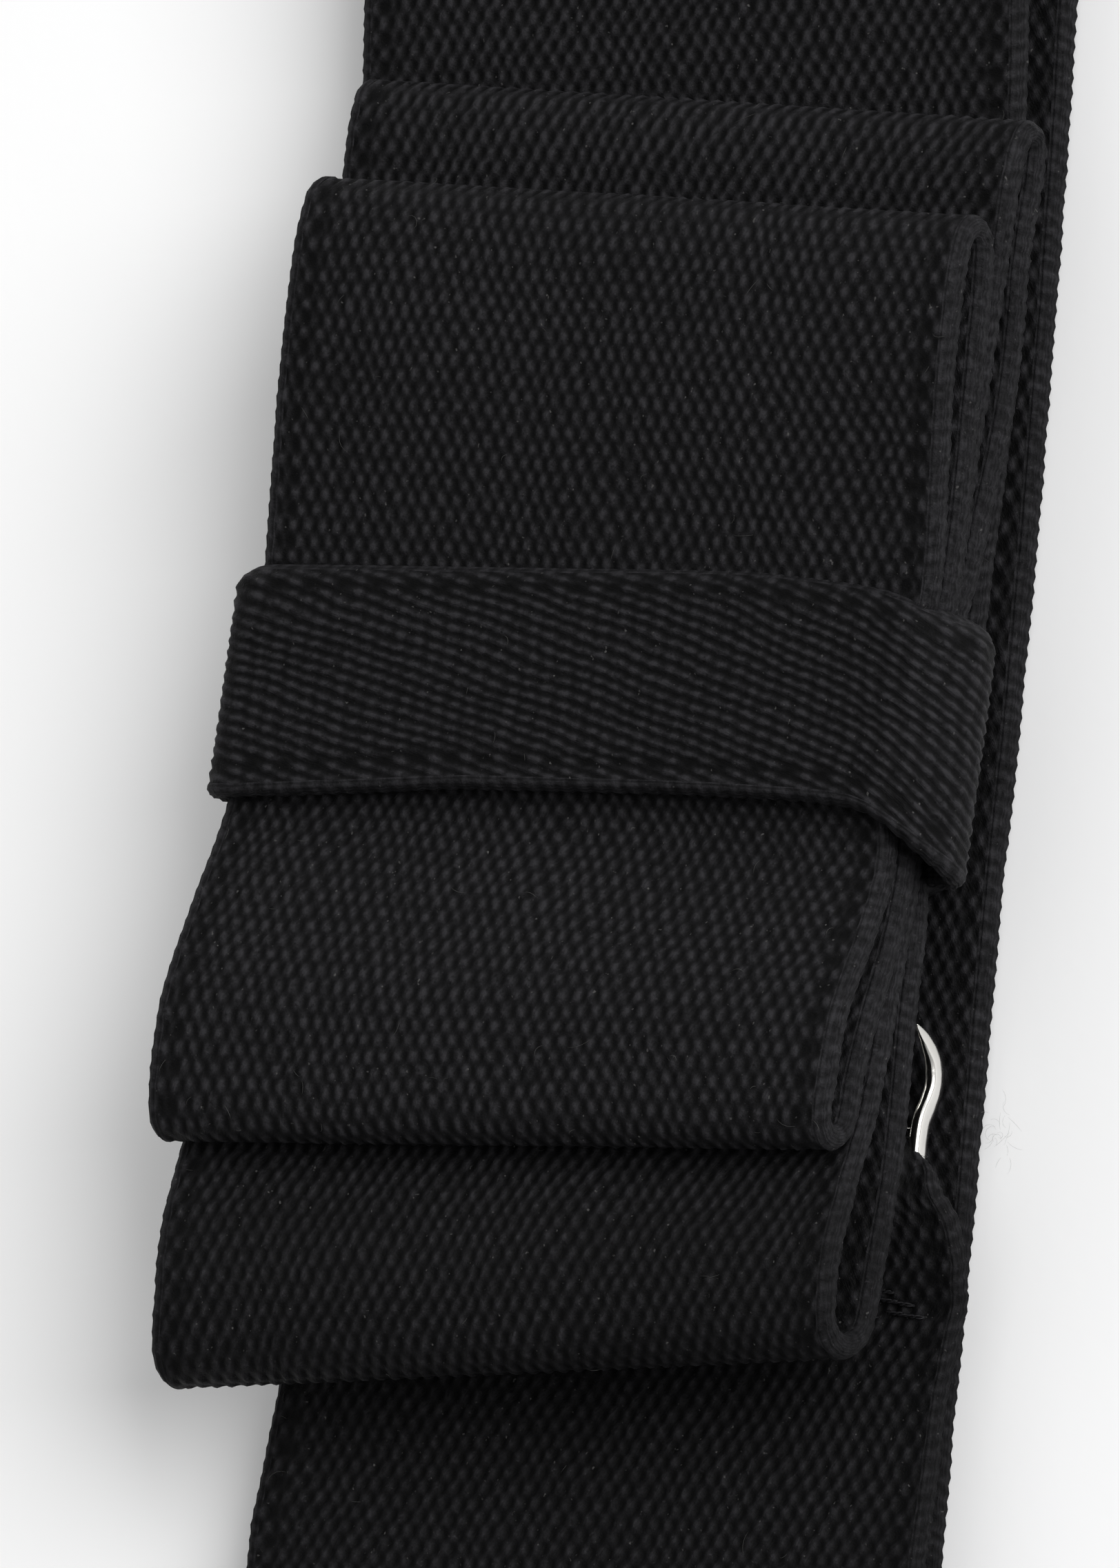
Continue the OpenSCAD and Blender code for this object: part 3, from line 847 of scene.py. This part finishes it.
def twisted(start, end):
    """The two strands of one stitch that rises out of the cloth at one hole and goes in at the next."""
    start, end = np.asarray(start, float), np.asarray(end, float)
    length = np.linalg.norm(end - start)
    t = np.linspace(0, 1, max(8, int(length / 0.1)))[:, None]
    line = start + (end - start) * t
    line[:, 2:] += STITCH_RISE * np.sin(math.pi * t) ** 0.5 - STITCH_SINK * (np.abs(2 * t - 1) ** 6)
    along = (end - start) / length
    side = unit(np.cross(along, (0, 0, 1)))
    above = np.cross(side, along)
    phase = t * length / TWIST * 2 * math.pi
    return [line + 0.5 * THREAD_R * (np.cos(phase + k) * side + np.sin(phase + k) * above)
            for k in (0, math.pi)]


def stitching(name, node, stitches, body, bow=False):
    """Twisted thread in place of a node's plain bars. Each stitch is (x, y, x, y, z, up or down)."""
    lines = []
    for x1, y1, x2, y2, z, way in stitches:
        jog = rng.normal(0, 0.04, 4)
        pair = twisted((x1 + jog[0], y1 + jog[1], 0), (x2 + jog[2], y2 + jog[3], 0))
        for line in pair:
            line[:, 2] = z + way * line[:, 2]
            if bow:
                line[:, 0], line[:, 1] = turned(line[:, 0].copy(), line[:, 1].copy(), 0)[:2]
            lines.append(line)
    obj = tubes(name, lines, STRAND_R)
    paint(obj, thread)
    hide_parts(node)
    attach(obj, body)


def along_y(x, half, pitch, low, high, shift, slant):
    """A row of lock stitches along Y, seen on both faces."""
    ys = np.arange(-half, half - pitch / 2, pitch) + shift
    return [(x - slant, y + 0.1, x + slant, y + pitch - 0.1, z, way)
            for y in ys for z, way in ((low, -1), (high, 1))]


def across_y(x, half, pitch, ply_z, length):
    """Slanted stitches side by side along Y, seen on both faces of the ply at ply_z."""
    return [(x - length / 2, y, x + length / 2, y + pitch / 2, z, way)
            for y in np.arange(-half, half, pitch) for z, way in ((ply_z - HALF_T, -1), (ply_z + HALF_T, 1))]


rows = [s for k, x in enumerate((-22.75, -22.3, -21.85))
        for s in along_y(x, 12.6, 2.1, 1.12, 3.22, shift=TAIL_SHIFT + 0.5 * k - 0.5, slant=0.12)]
stitching("hook_end_stitches", "hook_end_bartack", rows, "band")
rows = [s for k, x in enumerate((-5.95, -5.45))
        for s in along_y(x, RING_END_W / 2 - 0.4, 2.0, 1.32, 3.95, shift=0.4 * k, slant=0.1)]
stitching("ring_end_stitches", "ring_end_bartack", rows, "bow")
rows = across_y(1.5, 12, 1.0, LOWER_LOW_Z, 1.2)
stitching("lower_tier_stitches", "lower_tier_seam", rows, "bow", bow=True)
rows = across_y(-1.5, 12, 1.0, UPPER_LOW_Z, 1.2)
stitching("upper_tier_stitches", "upper_tier_seam", rows, "bow", bow=True)
rows = [(x - 0.6, y - 0.3, x + 0.6, y + 0.3, z, way)
        for x in np.arange(-3, 3.1, 0.75) for y in (-1.4, -0.5, 0.5, 1.4)
        for z, way in ((WRAP_LOW_Z - HALF_T, -1), (WRAP_LOW_Z + HALF_T, 1))]
stitching("wrap_stitches", "wrap_seam", rows, "bow", bow=True)
rows = [(x - 0.8, y, x + 0.8, y + 0.15, z, way)
        for x in (-2.4, 2.4) for y in (-10.7, -10.3, -9.9, 9.9, 10.3, 10.7)
        for z, way in ((STRAP_Z - HALF_T, -1), (WRAP_LOW_Z + HALF_T, 1))]
stitching("tack_stitches", "bow_tacks", rows, "bow", bow=True)

HOOK_W = hook_high[1] - hook_low[1]
HOOK_T = 1.2
RING_W = ring_high[1] - ring_low[1]
METAL_STEP = 0.08
TONGUE_X = -13.8
END_FADE = 0.6
TONGUE_W = RING_W - 2 * WIRE_D - 1.4
BODY_T, BODY_SINK = 0.45, 0.5
RAIL_W, RAIL_H, RAIL_TAPER = 0.6, 0.98, 2.6
RAIL_BULGE = 0.2
RAIL_INSET = 0.3


def plate(path, y1, y2, round_ends=(False, False), thick=HOOK_T, sink=0.0):
    """Part of a stamped plate along a path, with well rounded edges, from y1 to y2.

    sink is how far its middle lies under the path."""
    q, normal, s, length = resample(path, METAL_STEP, False)
    angle = np.linspace(-90, 90, 11) * math.pi / 180

    def fade(d):
        return np.sqrt(np.clip(1 - np.clip(1 - d / END_FADE, 0, 1) ** 2, 0.0004, 1))

    half_t = thick / 2 * (fade(length - s) if round_ends[1] else 1)
    half_t = half_t * (fade(s) if round_ends[0] else 1)
    mid, half = (y1 + y2) / 2, abs(y2 - y1) / 2
    r = min(thick / 2, half)
    outward = np.r_[np.cos(angle) * r + half - r, -(np.cos(angle) * r + half - r)]
    lean = np.where(angle > 0, 1.65 * np.sin(angle) - 0.65, 0.35 * np.sin(angle) - 0.65)
    depth = np.r_[lean, lean[::-1]]
    y = mid + outward[None, :]
    off = depth[None, :] * half_t[:, None] - sink
    x = q[:, :1] + normal[:, :1] * off
    z = q[:, 1:] + normal[:, 1:] * off
    return np.stack([x, y + 0 * x, z], -1)


def rail(path, way):
    """The rounded side of the hook on the way (-1 or 1) of Y, drawn out to a point at the lip."""
    q, normal, s, length = resample(path, METAL_STEP, False)
    angle = np.linspace(0, 2 * math.pi, 28, endpoint=False)
    c, d = np.cos(angle), np.sin(angle)
    c, d = np.sign(c) * np.abs(c) ** 0.75, np.sign(d) * np.abs(d) ** 0.75
    slim = np.clip((length - s) / RAIL_TAPER, 0.002, 1)[:, None] ** 0.65
    bulge = RAIL_BULGE * near(q[:, :1], -13.2, 1.3)
    y = way * (HOOK_W / 2 - RAIL_W / 2 * slim + RAIL_W / 2 * slim * c + bulge)
    x = q[:, :1] + normal[:, :1] * RAIL_H / 2 * slim * d
    z = q[:, 1:] + normal[:, 1:] * RAIL_H / 2 * slim * d
    return np.stack([x, y, z], -1)


def round_bar(points, r):
    """A grid of points round a bar of radius r."""
    angle = np.linspace(0, 2 * math.pi, 24, endpoint=False)
    line = np.asarray(points, float)
    tangent = np.gradient(line, axis=0)
    tangent /= np.linalg.norm(tangent, axis=1)[:, None]
    side = np.cross(tangent, (0, 0, 1))
    side /= np.linalg.norm(side, axis=1)[:, None]
    top = np.cross(side, tangent)
    return line[:, None] + r * (np.cos(angle)[None, :, None] * side[:, None]
                                + np.sin(angle)[None, :, None] * top[:, None])


def solid(name, grids, node, body, shift=0.0, closed=False):
    """One nickel piece from grids of points, set over by shift along Y."""
    parts = []
    for grid in grids:
        grid = grid + np.array([0, shift, 0])
        parts.append(mesh_from_grid(name, grid, np.zeros(grid.shape[:2] + (2,)), closed))
    bpy.ops.object.select_all(action="DESELECT")
    for part in parts:
        part.select_set(True)
    bpy.context.view_layer.objects.active = parts[0]
    if len(parts) > 1:
        bpy.ops.object.join()
    obj = bpy.context.view_layer.objects.active
    paint(obj, nickel)
    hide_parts(node)
    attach(obj, body)


hook_curve = curve([(-16.0, 3.02), (-15, 2.85), (-14.2, 2.5), (-13.5, 2.4), (-12.6, 2.65),
                    (-12.05, 3.3), (-11.9, 4.1)], steps=24)
body_curve = [q for q in hook_curve if q[0] < TONGUE_X - 1.4]
lip_curve = [q for q in hook_curve if q[0] > TONGUE_X - 1.9]
rail_curve = curve([(-18.1, 2.95), (-16.5, 3.02), (-15, 2.85), (-14.2, 2.5), (-13.5, 2.35), (-12.6, 2.55),
                    (-11.9, 3.25), (-11.35, 4.35)], steps=20)
inner = HOOK_W / 2 - RAIL_INSET
bar_line = [(HOOK_BAR[0], y, HOOK_BAR[1]) for y in np.linspace(-inner, inner, 9)]
hook_parts = [plate(body_curve, -inner, inner, (True, False), BODY_T, BODY_SINK),
              plate(lip_curve, -TONGUE_W / 2, TONGUE_W / 2, (False, True)),
              rail(rail_curve, -1), rail(rail_curve, 1), round_bar(bar_line, HOOK_BAR_R)]
solid("hook_metal", hook_parts, "hook", "hook", shift=TAIL_SHIFT)

RING_PITCH, RING_CORNER = 5.12, 0.9
RING_SLOPE = math.radians(5.6)
corner_y = (RING_W - WIRE_D) / 2 - RING_CORNER
corner_x = RING_PITCH - RING_CORNER
ring_line = []
for x, y, end in ((-RING_CORNER, corner_y, 90), (-corner_x, corner_y, 180),
                  (-corner_x, -corner_y, 270), (-RING_CORNER, -corner_y, 360)):
    ring_line += [(x + RING_CORNER * math.cos(a), y + RING_CORNER * math.sin(a))
                  for a in np.radians(np.linspace(end - 90, end, 10))]
ring_line = np.array(ring_line)
ring_tangent = np.roll(ring_line, -1, 0) - np.roll(ring_line, 1, 0)
ring_tangent /= np.linalg.norm(ring_tangent, axis=1)[:, None]
angle = np.linspace(0, 2 * math.pi, 24, endpoint=False)
out = np.stack([ring_tangent[:, 1], -ring_tangent[:, 0]], -1)
flat = ring_line[:, None, :] + WIRE_D / 2 * np.cos(angle)[None, :, None] * out[:, None, :]
lift = WIRE_D / 2 * np.sin(angle)[None, :] + 0 * flat[..., 0]
ring_grid = np.stack([RING_REAR[0] + flat[..., 0] * math.cos(RING_SLOPE) + lift * math.sin(RING_SLOPE),
                      flat[..., 1],
                      RING_REAR[1] - flat[..., 0] * math.sin(RING_SLOPE) + lift * math.cos(RING_SLOPE)], -1)
solid("ring_wire", [ring_grid], "ring", "ring", closed=True)


# ---------------------------------------------------------------- floor, light and camera

FLOOR_SIZE = 3
bpy.ops.mesh.primitive_plane_add(size=FLOOR_SIZE, location=(0, 0, 0))
floor = bpy.context.object
floor.name = "floor"
paint(floor, floor_material())

world = bpy.data.worlds.new("studio")
bpy.context.scene.world = world
world.use_nodes = True
sky = world.node_tree.nodes["Background"]
sky.inputs["Color"].default_value = (1.0, 1.0, 1.0, 1)

# The room is brighter towards +X, the top of the picture
ROOM_SLOPE, ROOM_LEVEL = 0.28, 0.605
room = world.node_tree.nodes.new("ShaderNodeTexCoord")
ways = world.node_tree.nodes.new("ShaderNodeSeparateXYZ")
world.node_tree.links.new(room.outputs["Generated"], ways.inputs[0])
level = world.node_tree.nodes.new("ShaderNodeMath")
level.operation = "MULTIPLY_ADD"
level.inputs[1].default_value = ROOM_SLOPE
level.inputs[2].default_value = ROOM_LEVEL
world.node_tree.links.new(ways.outputs[0], level.inputs[0])
world.node_tree.links.new(level.outputs[0], sky.inputs["Strength"])


# One softbox, aimed at the middle of the bow
KEY_PLACE = Vector((0.24, -0.72, 0.60))
KEY_SIZE = 0.62
KEY_POWER = 10.2
light = bpy.data.lights.new("key", "AREA")
light.shape = "RECTANGLE"
light.size = light.size_y = KEY_SIZE
light.energy = KEY_POWER
key = bpy.data.objects.new("key", light)
key.location = KEY_PLACE
key.rotation_euler = (-KEY_PLACE).to_track_quat("-Z", "Y").to_euler()
bpy.context.scene.collection.objects.link(key)

# The camera looks from the -Y side, rolled so that the band runs up the picture
SENSOR_HEIGHT = 36
VIEW_HEIGHT = 62.30137
DISTANCE = 0.450
toward = Vector((-0.1212, -0.504, 0.854)).normalized()
up = Vector((0.990, 0.0, 0.1404))
up = (up - toward * up.dot(toward)).normalized()
right = up.cross(toward)
aim = Vector((-2.58, 0.95, 10)) * MM
camera = bpy.data.cameras.new("camera")
camera.sensor_fit = "VERTICAL"
camera.sensor_height = SENSOR_HEIGHT
camera.lens = SENSOR_HEIGHT * DISTANCE / (VIEW_HEIGHT * MM)
camera.clip_start = 0.01
camera_object = bpy.data.objects.new("camera", camera)
camera_turn = Matrix((right, up, toward)).transposed().to_4x4()
camera_object.matrix_world = Matrix.Translation(aim + toward * DISTANCE) @ camera_turn
bpy.context.scene.collection.objects.link(camera_object)
bpy.context.scene.camera = camera_object

scene = bpy.context.scene
scene.view_settings.view_transform = "Standard"
scene.view_settings.look = "None"
